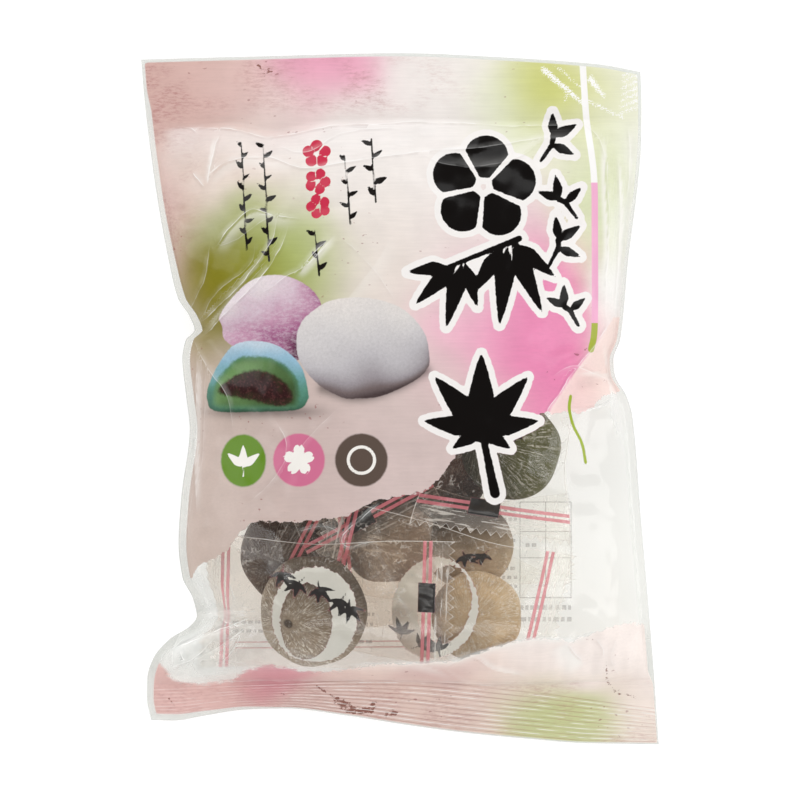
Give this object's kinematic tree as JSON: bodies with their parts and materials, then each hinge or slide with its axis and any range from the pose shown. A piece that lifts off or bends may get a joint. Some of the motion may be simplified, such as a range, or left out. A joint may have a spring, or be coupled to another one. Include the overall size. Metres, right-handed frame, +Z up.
{
  "type": "sealed bag of wrapped rice cakes",
  "caption": "Sealed pillow bag of printed and clear film, filled with small round rice cakes in clear wrappers; it lies flat on its back with ribbed seals at both ends.",
  "frame": {"origin": "middle of the bounding box, on the surface that the bag lies on", "axes": "+Z up out of the printed front, +Y along the bag towards its top seal, +X to the right seen from the front"},
  "size_m": [0.185, 0.247, 0.0404],
  "materials": {
    "printed_film": "glossy printed film, pale pink and beige with green and rose clouds, clear over a window",
    "back_film": "clear glossy film with thin printed rules and bars",
    "wrapper_film": "clear crinkled film with pink stripes and a white brushed ring",
    "rice_cake": "soft rice dough dusted with starch: beige, tan or mugwort green"
  },
  "bodies": {
    "root": {"bag": "printed_film"}
  },
  "joints": []
}
